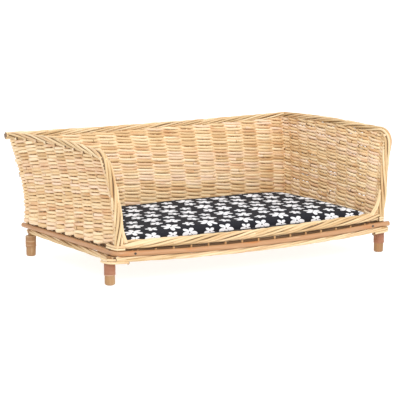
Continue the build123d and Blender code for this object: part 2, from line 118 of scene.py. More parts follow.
def srgb(red, green, blue):
    """An 8-bit colour as linear RGBA."""
    channels = [c / 255 for c in (red, green, blue)]
    return [c / 12.92 if c < 0.04045 else ((c + 0.055) / 1.055) ** 2.4 for c in channels] + [1]


class Graph:
    """A material's nodes. Inputs are numbers, vectors or other nodes' sockets."""

    def __init__(self, name):
        self.material = bpy.data.materials.new(name)
        self.material.use_nodes = True
        self.tree = self.material.node_tree
        self.surface = self.tree.nodes["Principled BSDF"]

    def put(self, socket, value):
        if isinstance(value, bpy.types.NodeSocket):
            self.tree.links.new(value, socket)
        else:
            socket.default_value = value

    def add(self, kind, settings=None, **inputs):
        node = self.tree.nodes.new(kind)
        for key, value in (settings or {}).items():
            setattr(node, key, value)
        for key, value in inputs.items():
            self.put(node.inputs[key], value)
        return node

    def math(self, operation, *values, kind="ShaderNodeMath"):
        node = self.add(kind, {"operation": operation})
        for socket, value in zip(node.inputs, values):
            self.put(socket, value)
        return node.outputs[0]

    def square(self, value):
        return self.math("POWER", self.math("ABSOLUTE", value), 2.0)

    def attribute(self, name, output="Fac"):
        return self.add("ShaderNodeAttribute", {"attribute_name": name}).outputs[output]

    def noise(self, place, scale, detail=3.0):
        """Noise in 0 to 1. The scale is a vector, so streaks can run along an axis."""
        stretched = self.math("MULTIPLY", place, scale, kind="ShaderNodeVectorMath")
        node = self.add("ShaderNodeTexNoise", Vector=stretched)
        node.inputs["Scale"].default_value = 1
        node.inputs["Detail"].default_value = detail
        return node.outputs["Fac"]

    def bands(self, place, direction, scale):
        wave = self.add("ShaderNodeTexWave", {"bands_direction": direction}, Vector=place, Scale=scale)
        return wave.outputs["Fac"]

    def remap(self, value, low, high, to_low=0.0, to_high=1.0):
        node = self.add("ShaderNodeMapRange", {"interpolation_type": "SMOOTHSTEP"})
        for socket, number in zip(node.inputs, (value, low, high, to_low, to_high)):
            self.put(socket, number)
        return node.outputs[0]

    def ramp(self, value, stops):
        node = self.add("ShaderNodeValToRGB", Fac=value)
        elements = node.color_ramp.elements
        while len(elements) < len(stops):
            elements.new(0.5)
        for element, (place, colour) in zip(elements, stops):
            element.position = place
            element.color = srgb(*colour)
        return node.outputs["Color"]

    def mix(self, share, first, second, mode="MIX"):
        """Mixes two colours. Sockets 6 and 7, and output 2, are the node's colour ones."""
        node = self.add("ShaderNodeMix", {"data_type": "RGBA", "blend_type": mode})
        for socket, value in zip((node.inputs[0], node.inputs[6], node.inputs[7]), (share, first, second)):
            self.put(socket, value)
        return node.outputs[2]

    def finish(self, colour, roughness, height=None, depth=0.0, sheen=0.0, metallic=0.0):
        inputs = {"Base Color": colour, "Roughness": roughness, "Sheen Weight": sheen, "Metallic": metallic}
        if height is not None:
            bump = self.add("ShaderNodeBump", Height=height, Distance=depth, Strength=0.8)
            inputs["Normal"] = bump.outputs[0]
        for name, value in inputs.items():
            self.put(self.surface.inputs[name], value)
        return self.material


GRAIN_DEPTH = 0.25 * MM
STREAK, STAIN, BLEACHED = (224, 192, 150), (184, 112, 52), (248, 226, 186)
# The last brown is real end grain, and also painted shade on the dark rods and cores that fill shaded gaps.
KNOT, END_GRAIN_AND_SHADE_BROWN = (112, 62, 30), (92, 62, 38)


def willow(name, stops, rough, stain):
    """Peeled willow: every rod has its own tint, streaks along it, stains and small knots."""
    g = Graph(name)
    grain = g.attribute("grain", "Vector")
    tint = g.attribute("tint")
    cut = g.attribute("cut")
    base = g.ramp(tint, stops)
    streaks = g.noise(grain, (14, 420, 420), 4)
    blotch = g.noise(grain, (11, 45, 45), 2)
    flecks = g.noise(grain, (60, 300, 300), 1)
    streaked = g.mix(1, base, srgb(*STREAK), "MULTIPLY")
    colour = g.mix(g.remap(streaks, 0.35, 0.75, 0.0, 0.45), base, streaked)
    colour = g.mix(g.remap(blotch, 0.54, 0.74, 0.0, stain), colour, srgb(*STAIN))
    colour = g.mix(g.remap(blotch, 0.22, 0.4, 0.45, 0.0), colour, srgb(*BLEACHED))
    knot = g.remap(flecks, 0.74, 0.82, 0.0, 0.75)
    colour = g.mix(knot, colour, srgb(*KNOT))
    # Darkened towards end-grain brown: real end grain at rod ends, and painted shade on the dark rods and
    # cores in shaded gaps.
    colour = g.mix(g.math("MULTIPLY", cut, 0.85), colour, srgb(*END_GRAIN_AND_SHADE_BROWN))
    roughness = g.remap(streaks, 0.3, 0.7, rough - 0.08, rough + 0.14)
    height = g.math("SUBTRACT", streaks, knot)
    return g.finish(colour, roughness, height, GRAIN_DEPTH)


def stick_wood(name, along, stops):
    """A straight stick's wood: streaks along one axis of the frame."""
    g = Graph(name)
    place = g.add("ShaderNodeTexCoord").outputs["Object"]
    streaks = g.noise(place, [16 if axis == along else 420 for axis in range(3)], 4)
    blotch = g.noise(place, [7 if axis == along else 60 for axis in range(3)], 2)
    colour = g.ramp(blotch, stops)
    colour = g.mix(g.remap(streaks, 0.4, 0.72, 0.0, 0.5), colour, srgb(150, 98, 56))
    return g.finish(colour, g.remap(streaks, 0.3, 0.7, 0.42, 0.62), streaks, GRAIN_DEPTH)


def worn_metal(name, colour, edge, rough):
    """Dull metal or nylon: smudges between two shades, and fine scratches."""
    g = Graph(name)
    place = g.add("ShaderNodeTexCoord").outputs["Object"]
    scratches = g.noise(place, (900, 2600, 2600), 3)
    smudge = g.noise(place, (180, 180, 180), 2)
    shade = g.mix(g.remap(smudge, 0.4, 0.65), srgb(*colour), srgb(*edge))
    roughness = g.remap(scratches, 0.3, 0.7, rough, rough + 0.2)
    return g.finish(shade, roughness, scratches, 0.05 * MM, metallic=0.85)


def black_tape(name):
    """Woven black tape, as on a zip and in the cover's seam."""
    g = Graph(name)
    place = g.add("ShaderNodeTexCoord").outputs["Object"]
    weave = g.math("MULTIPLY", g.bands(place, "Z", 900.0), g.bands(place, "X", 700.0))
    return g.finish(g.mix(weave, srgb(22, 22, 26), srgb(48, 48, 54)), 0.8, weave, 0.15 * MM, sheen=0.3)


def printed_cotton(name):
    """Black cotton with white daisies: four flowers to a repeat, petals apart, dark ringed eyes."""
    repeat = (108 * MM, 97 * MM)
    threads = 520.0
    flowers = (
        # place in the repeat in millimetres, radius, petals, turn
        ((0, 0), 25 * MM, 6, 0.2),
        ((36, -42), 22.5 * MM, 5, 0.9),
        ((55, 5), 16 * MM, 5, 0.4),
        ((-13, 50), 17 * MM, 5, 1.1),
    )
    g = Graph(name)
    place = g.attribute("cloth", "Vector")
    wobble = g.noise(place, (70, 70, 70), 2)
    split = g.add("ShaderNodeSeparateXYZ", Vector=place)
    u, v = split.outputs[:2]
    ink = 0.0
    for (x, y), radius, petals, turn in flowers:
        # The place from the flower's own middle, wrapped into one repeat
        local = []
        for value, offset, cell in ((u, x * MM, repeat[0]), (v, y * MM, repeat[1])):
            shifted = g.math("DIVIDE", g.math("SUBTRACT", value, offset), cell)
            wrapped = g.math("FRACT", g.math("ADD", shifted, 0.5))
            local.append(g.math("MULTIPLY", g.math("SUBTRACT", wrapped, 0.5), cell))
        far = g.math("SQRT", g.math("ADD", *[g.square(c) for c in local]))
        # Turned into one petal's share of the circle, where the petal is an oval
        angle = g.math("ADD", g.math("ARCTAN2", local[1], local[0]), turn + 2 * math.pi)
        step = 2 * math.pi / petals
        folded = g.math("SUBTRACT", g.math("FLOORED_MODULO", angle, step), step / 2)
        along = g.math("MULTIPLY", far, g.math("COSINE", folded))
        across = g.math("MULTIPLY", far, g.math("SINE", folded))
        middle, length, width = 0.61 * radius, 0.40 * radius, (1.42 / petals) * radius
        from_middle = g.math("DIVIDE", g.math("SUBTRACT", along, middle), length)
        oval = g.math("ADD", g.square(from_middle), g.square(g.math("DIVIDE", across, width)))
        oval = g.math("ADD", oval, g.math("MULTIPLY", g.math("SUBTRACT", wobble, 0.5), 0.5))
        petal = g.remap(oval, 0.94, 1.06, 1.0, 0.0)
        eye = g.remap(far, 0.28 * radius, 0.32 * radius, 1.0, 0.0)
        pip = g.remap(far, 0.09 * radius, 0.13 * radius, 1.0, 0.0)
        flower = g.math("SUBTRACT", g.math("MAXIMUM", petal, eye), pip)
        ink = g.math("MAXIMUM", ink, flower)
    weave = g.math("MULTIPLY", g.math("ADD", g.bands(place, "X", threads), g.bands(place, "Y", threads)), 0.5)
    lint = g.noise(place, (900, 900, 900), 2)
    black = g.mix(weave, srgb(24, 24, 30), srgb(36, 36, 42))
    white = g.mix(g.math("MULTIPLY", lint, 0.5), srgb(228, 228, 230), srgb(206, 206, 212))
    colour = g.mix(ink, black, white)
    crease = g.noise(place, (34, 34, 34), 3)
    height = g.math("ADD", g.math("MULTIPLY", weave, 0.25), g.math("MULTIPLY", crease, 2.0))
    g.put(g.surface.inputs["Specular IOR Level"], 0.2)
    return g.finish(colour, 0.9, height, 0.5 * MM)


# Tints from one rod to another, as ramp stops
WEAVE = (
    (0.0, (211, 178, 132)),
    (0.12, (225, 194, 148)),
    (0.4, (235, 209, 167)),
    (0.62, (239, 217, 179)),
    (0.82, (236, 210, 183)),
    (1.0, (225, 188, 139)),
)
BORDER = (
    (0.0, (198, 168, 122)),
    (0.35, (218, 190, 146)),
    (0.75, (230, 208, 170)),
    (1.0, (208, 174, 130)),
)
HOOP = (
    (0.0, (162, 116, 78)),
    (0.5, (190, 146, 106)),
    (1.0, (152, 104, 66)),
)
LEG = (
    (0.0, (152, 114, 76)),
    (1.0, (170, 134, 94)),
)
SKEIN = (
    (0.0, (172, 134, 94)),
    (0.6, (176, 126, 98)),
    (1.0, (162, 110, 86)),
)

weave_willow = willow("weave_willow", WEAVE, rough=0.5, stain=0.45)
border_willow = willow("border_willow", BORDER, rough=0.48, stain=0.3)
hoop_willow = willow("hoop_willow", HOOP, rough=0.42, stain=0.75)
leg_wood = willow("leg_wood", LEG, rough=0.6, stain=0.5)
leg_skein = willow("leg_skein", SKEIN, rough=0.5, stain=0.3)
printed = printed_cotton("printed_cotton")
black_cotton = black_tape("zip_tape")


# -------- round rods as one mesh


def unit(vectors):
    return vectors / np.maximum(np.linalg.norm(vectors, axis=-1, keepdims=True), 1e-12)


def lengths(path):
    steps = np.linalg.norm(np.diff(path, axis=0), axis=1)
    return np.concatenate(([0], np.cumsum(steps)))


def line_of(x, y, z):
    """Points from three coordinates, each one number or an array."""
    return np.stack(np.broadcast_arrays(x, y, z), axis=1)


def normals_of(path, across):
    """Two unit normals along a path that is never parallel to the across vector."""
    tangent = unit(np.gradient(path, axis=0))
    side = unit(np.cross(tangent, across))
    return side, np.cross(side, tangent)


def wander(count, turns, size):
    """A smooth random curve: a few sine waves with random phases."""
    place = np.linspace(0, 2 * math.pi, count)
    waves = [np.sin(place * turns * k + rng.uniform(0, 2 * math.pi)) / k for k in (0.5, 1.0, 2.3)]
    return size * sum(waves) / 2


class Rods:
    """Collects round rods and makes one mesh of them, with tint and grain attributes, and one that darkens to
    end-grain brown: real end grain on rod ends, painted shade on the dark rods in shaded gaps.
    """

    def __init__(self, sides=8):
        self.sides = sides
        self.count = 0
        self.points, self.quads, self.caps = [], [], []
        self.tint, self.grain, self.cut = [], [], []

    def store(self, points, tint, grain, cut):
        self.points.append(points)
        self.tint.append(np.full(len(points), tint))
        self.grain.append(grain)
        self.cut.append(np.full(len(points), cut))
        first = self.count
        self.count += len(points)
        return first

    def add(self, path, radius, tint, across=(0, 0, 1), cut=0.0, tall=1.0):
        """One rod along a path. tall stretches its section along the second normal."""
        path = np.asarray(path, float)
        rings = len(path)
        radius = np.broadcast_to(radius, rings)
        side, up = normals_of(path, across)
        turn = np.linspace(0, 2 * math.pi, self.sides, endpoint=False)
        sideways = side[:, None] * np.cos(turn)[None, :, None]
        upwards = up[:, None] * (tall * np.sin(turn))[None, :, None]
        points = (path[:, None] + (sideways + upwards) * radius[:, None, None]).reshape(-1, 3)
        travel = np.repeat(lengths(path), self.sides)
        around = np.tile(turn, rings)
        wide = np.repeat(radius, self.sides)
        own_grain = rng.uniform(0, 9, 3)
        grain = line_of(travel, wide * np.cos(around), wide * np.sin(around)) + own_grain
        first = self.store(points, tint, grain, cut)
        ring = np.arange(self.sides)
        after = (ring + 1) % self.sides
        base = first + self.sides * np.arange(rings - 1)[:, None]
        corners = (base + ring, base + self.sides + ring, base + self.sides + after, base + after)
        self.quads.append(np.stack(corners, axis=2).reshape(-1, 4))
        for end, order in ((0, ring), (rings - 1, ring[::-1])):
            chosen = slice(end * self.sides, (end + 1) * self.sides)
            capped = self.store(points[chosen], tint, grain[chosen], 1.0)
            self.caps.append(capped + order)

    def make(self, name, body, slot, material, *replaced):
        points = np.concatenate(self.points)
        faces = [list(map(int, f)) for f in np.concatenate(self.quads)]
        faces += [list(map(int, f)) for f in self.caps]
        mesh = bpy.data.meshes.new(name)
        mesh.from_pydata(points.tolist(), [], faces)
        mesh.polygons.foreach_set("use_smooth", [True] * len(faces))
        for key, kind, values in (
            ("tint", "FLOAT", np.concatenate(self.tint)),
            ("cut", "FLOAT", np.concatenate(self.cut)),
            ("grain", "FLOAT_VECTOR", np.concatenate(self.grain)),
        ):
            layer = mesh.attributes.new(key, kind, "POINT")
            layer.data.foreach_set("value" if kind == "FLOAT" else "vector", values.ravel())
        place_piece(name, mesh, body, slot, material, *replaced)


def add_object(name, data):
    obj = bpy.data.objects.new(name, data)
    bpy.context.scene.collection.objects.link(obj)
    return obj


def place_piece(name, mesh, body, slot, material, *replaced):
    """Puts a mesh in the scene as a piece that rides on a body and stands for CAD nodes."""
    piece = add_object(name, mesh)
    mesh.materials.append(material)
    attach(piece, body)
    if replaced:
        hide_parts(*replaced)
    return piece


# -------- centre surfaces and lines


def blend(start, end, share):
    return start + (end - start) * share


def flare(z):
    return np.maximum(0, (z - FLARE_Z) / (POST_TOP_Z - FLARE_Z)) ** FLARE_POWER


def post_xy(z):
    return [blend(POST_FOOT[i], POST_TOP[i], flare(z)) for i in range(2)]


def corner_xy(z):
    share = flare(z) / flare(CORNER_TOP_Z)
    return [blend(CORNER_FOOT[i], CORNER_TOP[i], share) for i in range(2)]


def side_xy(share, z):
    """Right wall, from its front post (0) to its back corner (1)."""
    front, back = post_xy(z), corner_xy(z)
    bow = SIDE_BOW * 4 * share * (1 - share) * flare(z)
    return blend(front[0], back[0], share) - bow, blend(front[1], back[1], share)


def lean(share, z):
    """Extra width of the right wall, fading to nothing at its foot and at its back corner."""
    return RIGHT_LEAN * np.clip((z - STANDING_Z) / LEAN_RISE, 0, 1) * (1 - share)


def bulge(n, z):
    """Extra width at the back left corner. It fades to nothing at the rim, the post and the back's middle."""
    knots = ((RIGHT_CORNER + LEFT_CORNER) / 2, LEFT_CORNER, WALL_STEPS)
    rise = np.clip((z - STANDING_Z) / (CORNER_TOP_Z - STANDING_Z), 0, 1)
    return LEFT_BULGE * np.interp(n, knots, (0, 1, 0)) * (1 - rise**3)


def side_rim_z(share):
    middle = (POST_TOP_Z + CORNER_TOP_Z) / 2
    return blend(POST_TOP_Z, CORNER_TOP_Z, share) + (SIDE_RIM_Z - middle) * 4 * share * (1 - share)


def back_rim_z(x):
    return blend(BACK_RIM_Z, CORNER_TOP_Z, (x / CORNER_TOP[0]) ** 2)


def back_offset(n):
    """Distance from the back's middle, at the foot, of a running stake number."""
    knots = (RIGHT_CORNER, RIGHT_CORNER + 1, LEFT_CORNER - 1, LEFT_CORNER)
    return np.interp(n, knots, (CORNER_FOOT[0], BACK_STAKE_SPAN, -BACK_STAKE_SPAN, -CORNER_FOOT[0]))


def wall_share(n):
    """How far along its side wall a running stake number is, the left wall mirroring the right."""
    return np.clip(np.minimum(n, WALL_STEPS - n) / SIDE_STEPS, 0, 1)


def on_back(n):
    return (n >= RIGHT_CORNER) & (n <= LEFT_CORNER)


def rim_z(n):
    return np.where(on_back(n), back_rim_z(back_offset(n)), side_rim_z(wall_share(n)))


def wall_xyz(n, z):
    """Centre of the weave at running stake numbers, from the right post round the back to the left."""
    side_x, side_y = side_xy(wall_share(n), z)
    corner_x, corner_y = corner_xy(z)
    on_sides = np.where(n < RIGHT_CORNER, side_x + lean(wall_share(n), z), -side_x)
    x = np.where(on_back(n), back_offset(n) * corner_x / CORNER_FOOT[0], on_sides) - bulge(n, z)
    y = np.where(on_back(n), corner_y, side_y)
    return line_of(x, y, z)


def eased(path, reach):
    """The path with its corners rounded by a moving average."""
    padded = np.concatenate((np.repeat(path[:1], reach, 0), path, np.repeat(path[-1:], reach, 0)))
    window = np.ones(2 * reach + 1) / (2 * reach + 1)
    smooth = np.stack([np.convolve(padded[:, i], window, "valid") for i in range(3)], axis=1)
    smooth[0], smooth[-1] = path[0], path[-1]
    return smooth


def hoop_x(y):
    return blend(HOOP_FRONT[0], HOOP_BACK[0], (y - HOOP_FRONT[1]) / (HOOP_BACK[1] - HOOP_FRONT[1]))


def front_share(x):
    """How far the front edge is bowed, from 1 in its middle to 0 at its ends."""
    return np.maximum(0, 1 - (x / (HOOP_FRONT[0] - HOOP_BEND)) ** 2)


def front_line(reach, step_back, z, sag, count=120):
    """A run along the bowed, sagging front edge."""
    x = np.linspace(-reach, reach, count)
    share = front_share(x)
    return line_of(x, HOOP_FRONT[1] - FRONT_BOW * share + step_back, z - sag * share)


def hermite(start, start_way, end, end_way, count):
    """A smooth bend between two points, leaving and arriving along the given ways."""
    t = np.linspace(0, 1, count)[:, None]
    return (
        (2 * t**3 - 3 * t**2 + 1) * start
        + (t**3 - 2 * t**2 + t) * start_way
        + (3 * t**2 - 2 * t**3) * end
        + (t**3 - t**2) * end_way
    )


def even(path, step):
    """The same path with points at even distances."""
    travel = lengths(path)
    marks = np.linspace(0, travel[-1], max(3, int(travel[-1] / step)))
    return np.stack([np.interp(marks, travel, path[:, i]) for i in range(3)], axis=1)


# -------- woven walls

# French randing: a rod starts at every stake and weaves in front of one and behind one,
# climbing by its own thickness at each stake, so every float slants the same way.
SAMPLES = 8             # points to a stake step
CORNER_EASE = 3         # samples that the weave's corners are rounded over, each way
WEAVE_FOOT = 95.5 * MM
WALE_TOP = 146 * MM
WALE_LEVELS = 10        # rods above one another in the thicker lower band
WEAVE_LEVELS = 40       # and in the finer weave above it
LEVELS = WALE_LEVELS + WEAVE_LEVELS
ROD_LOW = 3.9 * MM      # rod radius at the foot
ROD_HIGH = 3.1 * MM     # and from the level below up to the rim
THIN_LEVEL = 14
ROD_TALL = 1.27         # packed rods fill the height between their neighbours
ROD_SHORTEST = 11 * SAMPLES     # lengths in samples, until the next rod of its course starts
ROD_LONGEST = 18 * SAMPLES
OVERLAP = 3             # samples that a rod runs past the place where the next one starts
END_STEP = 0.7 * MM     # an overlapping end stands this much further off the wall per sample


def climb_z(n, level):
    """Height of a rod at running stake numbers, from its level above the foot."""
    low = blend(WEAVE_FOOT, WALE_TOP, level / WALE_LEVELS)
    high = blend(WALE_TOP, rim_z(n) - RIM_GAP, (level - WALE_LEVELS) / WEAVE_LEVELS)
    return np.where(level < WALE_LEVELS, low, high)


def file_rod(walls, n, level, path, size, tint):
    """Adds a rod's stretches to the wall and the band they run through."""
    for band, in_band in (("wale", level <= WALE_LEVELS), ("weave", level >= WALE_LEVELS)):
        for wall, low, high in WALLS:
            chosen = np.nonzero(in_band & (n >= low) & (n <= high))[0]
            if len(chosen) > 2:
                walls[band, wall].add(path[chosen], size[chosen], tint, tall=ROD_TALL)


def weave_rod(walls, start):
    """The rods that follow one another along one climbing course."""
    first, last = max(0, start - 0.25), min(WALL_STEPS, start + LEVELS)
    n = np.arange(first * SAMPLES, last * SAMPLES + 1) / SAMPLES
    level = n - start
    centre = eased(wall_xyz(n, climb_z(n, level)), CORNER_EASE)
    outward = unit(np.cross(np.gradient(centre, axis=0), (0, 0, 1)))
    radius = blend(ROD_LOW, ROD_HIGH, np.clip(level / THIN_LEVEL, 0, 1))
    side = (-1) ** start * np.cos(math.pi * n)
    path = centre + outward * (side * (STAKE_R + 0.8 * radius) + wander(len(n), 9, 0.5 * MM))[:, None]
    path[:, 2] += wander(len(n), 8, 0.8 * MM)
    mark = -rng.integers(0, 16 * SAMPLES)
    while mark < len(n) - OVERLAP:
        end = mark + rng.integers(ROD_SHORTEST, ROD_LONGEST)
        chosen = slice(max(0, mark - OVERLAP), min(len(n), end + OVERLAP + 1))
        share = np.linspace(0, 1, len(n[chosen]))
        size = radius[chosen] * (1.08 - 0.18 * share) * (1 + wander(len(share), 5, 0.05))
        bent = path[chosen].copy()
        for tail in (slice(0, OVERLAP + 1), slice(-1, -OVERLAP - 2, -1)):
            away = np.arange(OVERLAP, -1, -1)[: len(bent[tail])]
            bent[tail] += outward[chosen][tail] * (side[chosen][tail] * away * END_STEP)[:, None]
        if len(share) > OVERLAP:
            file_rod(walls, n[chosen], level[chosen], bent, size, rng.uniform())
        mark = end


def shadow_row(walls):
    """A dark rod behind the gap between the hoop and the lowest weavers."""
    height, inwards, radius = 89 * MM, 5 * MM, 4 * MM
    for wall, start, end in WALLS:
        path = wall_xyz(np.linspace(start, end, 60), height)
        path[:, :2] *= 1 - inwards / np.linalg.norm(path[:, :2], axis=1, keepdims=True)
        walls["wale", wall].add(path, radius, 0.0, cut=1.0)


def stake_feet(walls):
    """Each wall stake comes up through the foot border, inside the hoop, and over it into the wale."""
    inset, radius = 10.5 * MM, 2.9 * MM
    foot_z, over_z, top_z = 58 * MM, 90 * MM, 100 * MM
    for n in range(1, WALL_STEPS):
        if n in (RIGHT_CORNER, LEFT_CORNER):
            continue
        top = wall_xyz(np.array([float(n)]), top_z)[0]
        if on_back(n):
            wall, inside = "back", np.array((top[0], HOOP_BACK[1] - inset))
        else:
            wall = "right" if n < RIGHT_CORNER else "left"
            inside = np.array((math.copysign(hoop_x(top[1]) - inset, top[0]), top[1]))
        over = (*(0.5 * (inside + top[:2])), over_z)
        path = even(np.array(((*inside, foot_z), (*inside, HOOP_Z), over, top)), 5 * MM)
        walls["wale", wall].add(eased(path, 1), radius, rng.uniform(0.3, 0.8), across=(1, 0.3, 0))


def stake(rods, n, radius):
    """One stake from the hoop to the rim roll, on the wall's own surface."""
    share = np.linspace(0, 1, 30)
    z = np.linspace(STANDING_Z, float(rim_z(np.array([n]))[0]) - RIM_GAP, len(share))
    path = wall_xyz(np.full(len(share), float(n)), z)
    rods.add(path, radius * (1.05 - 0.15 * share), rng.uniform(), across=(1, 0.3, 0))


def build_stakes():
    beside = 0.15  # a corner stake stands this share of a step beside its corner, on the side wall
    groups = [(f"stakes_{wall}", range(a + 1, b), STAKE_R, f"{wall}_wall_stakes") for wall, a, b in WALLS]
    groups += [
        ("corner_right", (RIGHT_CORNER - beside,), CORNER_STAKE_R, "corner_stake_right"),
        ("corner_left", (LEFT_CORNER + beside,), CORNER_STAKE_R, "corner_stake_left"),
        ("post_right", (0,), POST_STICK_R, "front_post_right"),
        ("post_left", (WALL_STEPS,), POST_STICK_R, "front_post_left"),
    ]
    for name, numbers, radius, node in groups:
        rods = Rods()
        for n in numbers:
            stake(rods, n, radius)
        rods.make(name, "basket", "weave_willow", weave_willow, node)


def build_walls():
    walls = {(band, wall): Rods() for band in ("wale", "weave") for wall, _, _ in WALLS}
    for start in range(1 - LEVELS, WALL_STEPS - 1):
        weave_rod(walls, start)
    stake_feet(walls)
    shadow_row(walls)
    for (band, wall), rods in walls.items():
        rods.make(f"{band}_{wall}", "basket", "weave_willow", weave_willow, f"{wall}_wall_{band}")


# -------- rolled borders

STRAND_SHORTEST = 260 * MM
STRAND_LONGEST = 460 * MM
STRAND_LAP = 20 * MM    # a strand runs this far past the place where the next one starts
# The dark heart is painted shade: a dark core that fills the gaps between a roll's strands.
HEART_SHARE = 0.74      # the dark heart's radius, as a share of the ring of strands' own


def lay_roll(
    rods, centre, radius, across=(0, 0, 1), count=7, pitch=0.28, wide=1.0, high=1.0, twist=1, fill=2.0
):
    """Strands laid round a centre line like a loose rope, one turn to a pitch, with a dark heart: painted
    shade seen between the strands.
    radius is one number, or pairs of share of length and radius. wide and high scale the section,
    twist is the hand of the lay, and fill makes the strands thicker."""
    centre = even(np.asarray(centre, float), 6 * MM)
    if not np.isscalar(radius):
        shares, sizes = np.array(radius).T
        radius = np.interp(np.linspace(0, 1, len(centre)), shares, sizes)
    strand = fill * radius / count
    ring = radius - strand
    travel = lengths(centre)
    side, up = normals_of(centre, across)
    # The dark heart, painted shade in the gaps between the strands
    rods.add(centre, ring * HEART_SHARE, 0.0, across, cut=1.0, tall=high)
    for k in range(count):
        phase = twist * 2 * math.pi * (travel / pitch) + 2 * math.pi * k / count
        phase = phase + wander(len(centre), 3, 0.16)
        swell = ring * (1 + wander(len(centre), 4, 0.05))
        sideways = side * (swell * wide * np.cos(phase))[:, None]
        path = centre + sideways + up * (swell * high * np.sin(phase))[:, None]
        inward = centre - path
        start = -rng.uniform(0, 0.3)
        while start < travel[-1]:
            length = rng.uniform(STRAND_SHORTEST, STRAND_LONGEST)
            chosen = np.nonzero((travel >= start - STRAND_LAP) & (travel <= start + length + STRAND_LAP))[0]
            start += length
            if len(chosen) < 6:
                continue
            # A strand's ends thin and dip inwards, except at the ends of the roll
            share = np.linspace(0, 1, len(chosen))
            proud = np.clip(np.minimum(share * len(chosen), (1 - share) * len(chosen)) / 5, 0, 1)
            if chosen[0] == 0:
                proud[: len(proud) // 2] = 1
            if chosen[-1] == len(centre) - 1:
                proud[len(proud) // 2 :] = 1
            dip = inward[chosen] * (0.35 * (1 - proud))[:, None]
            thick = np.broadcast_to(strand, len(centre))[chosen]
            size = thick * (1.1 - 0.2 * share) * (0.72 + 0.28 * proud) * (1 + wander(len(chosen), 3, 0.05))
            rods.add(path[chosen] + dip, size, rng.uniform(), across)


def make_border(name, node, centre, **lay):
    rods = Rods()
    lay_roll(rods, centre, **lay)
    rods.make(name, "basket", "border_willow", border_willow, node)


def side_roll_line(right):
    """Up a front post, over its top and back along the rim, in the place of the right-hand one."""
    post_z = np.linspace(STANDING_Z, POST_TOP_Z - POST_BEND, 30)
    climb = line_of(*post_xy(post_z), post_z)
    depth = CORNER_TOP[1] - POST_TOP[1]
    shares = np.linspace(POST_BEND / depth, 1 - 4 * MM / depth, 60)
    height = side_rim_z(shares) - RIM_DROP
    rim = line_of(*side_xy(shares, height), height)
    if right:
        climb[:, 0] += lean(0, climb[:, 2])
        rim[:, 0] += lean(shares, rim[:, 2])
    reach = 1.5 * POST_BEND
    bend = hermite(climb[-1], unit(climb[-1] - climb[-2]) * reach, rim[0], unit(rim[1] - rim[0]) * reach, 12)
    return np.concatenate((climb[:-1], bend, rim[1:]))


def build_borders():
    sizes = ((0, POST_ROLL_R), (0.3, POST_ROLL_R), (0.42, RIM_ROLL_R), (1, RIM_ROLL_R))
    side_lay = {"across": (1, 0, 0), "radius": sizes, "count": 6, "pitch": 0.3, "fill": 1.8}
    for side, sign in (("right", 1), ("left", -1)):
        line = side_roll_line(side == "right") * (sign, 1, 1)
        make_border(f"border_{side}", f"side_border_{side}", line, twist=sign, **side_lay)

    reach = CORNER_TOP[0] + RIM_OVERHANG
    x = np.linspace(-reach, reach, 150)
    line = line_of(x, CORNER_TOP[1], back_rim_z(x) - RIM_DROP)
    make_border("border_back", "back_border", line, radius=RIM_ROLL_R)

    # The sill roll, and a dark rod behind the gap between it and the hoop, painted shade in that gap
    rods = Rods()
    reach = POST_FOOT[0] - 6 * MM
    lay_roll(rods, front_line(reach, SILL_STEP, SILL_Z, SILL_SAG), radius=SILL_ROLL_R)
    rods.add(front_line(reach, SILL_STEP + 5 * MM, 86 * MM, HOOP_SAG), 4.5 * MM, 0.0, cut=1.0)
    rods.make("border_sill", "basket", "border_willow", border_willow, "front_sill_border")


def build_foot_border():
    """The twisted border that hangs under the hoop, in four runs."""
    lay = {"radius": FOOT_R, "count": 5, "pitch": 0.34, "wide": 1.1, "high": 0.95}
    y = np.linspace(HOOP_FRONT[1] + 10 * MM, HOOP_BACK[1] + 4 * MM, 70)
    for side, sign in (("right", 1), ("left", -1)):
        line = line_of(sign * (hoop_x(y) - FOOT_INSET), y, FOOT_Z)
        make_border(f"foot_{side}", f"foot_border_{side}", line, twist=sign, **lay)

    reach = HOOP_BACK[0] - 15 * MM
    line = line_of((-reach, reach), HOOP_BACK[1] - FOOT_INSET, FOOT_Z)
    make_border("foot_back", "foot_border_back", line, **lay)

    line = front_line(HOOP_FRONT[0] + 2 * MM, FOOT_INSET, FOOT_Z + 1.5 * MM, HOOP_SAG - 0.5 * MM)
    make_border("foot_front", "foot_border_front", line, **lay | {"radius": FOOT_R - 1 * MM})


def lap(rods, points, radius, ease=2, across=(0, 0, 1)):
    """A single strand bent through a few points."""
    rods.add(eased(even(np.array(points), 4 * MM), ease), radius, rng.uniform(0.4, 0.9), across)


def leg_place(corner):
    """A leg's middle and its radius."""
    low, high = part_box(f"leg_{corner}")
    return (low.x + high.x) / 2, (low.y + high.y) / 2, (high.x - low.x) / 2


def lap_leg(rods, sign):
    """Two strand ends that lap round a front leg's top, and a trimmed stub beside it, half darkened by
    painted shade.
    """
    x, y = leg_place("front_left" if sign < 0 else "front_right")[:2]
    hug = 21 * MM
    turn = np.linspace(-1.2, 0.2, 10)
    arc_x = x + sign * hug * np.cos(turn) * 0.9
    arc_y = y + hug * np.sin(turn) * 1.5 + 2 * MM
    for height, reach, radius in ((66 * MM, 30 * MM, 3.0 * MM), (59 * MM, 36 * MM, 3.2 * MM)):
        tail = (x - sign * reach, arc_y[0] - 2 * MM, height - 2 * MM)
        lap(rods, [tail, *line_of(arc_x, arc_y, height)], radius)
    stub_x = x - sign * 31 * MM
    stub = ((stub_x, y - 24 * MM, 61 * MM), (stub_x - sign * 8 * MM, y - 26 * MM, 53 * MM))
    # The stub's wood is half darkened, painted shade for a stub in the border's shadow; its two ends get real
    # end grain.
    rods.add(even(np.array(stub), 3 * MM), 3.6 * MM, 0.2, across=(0, 1, 0), cut=0.5)


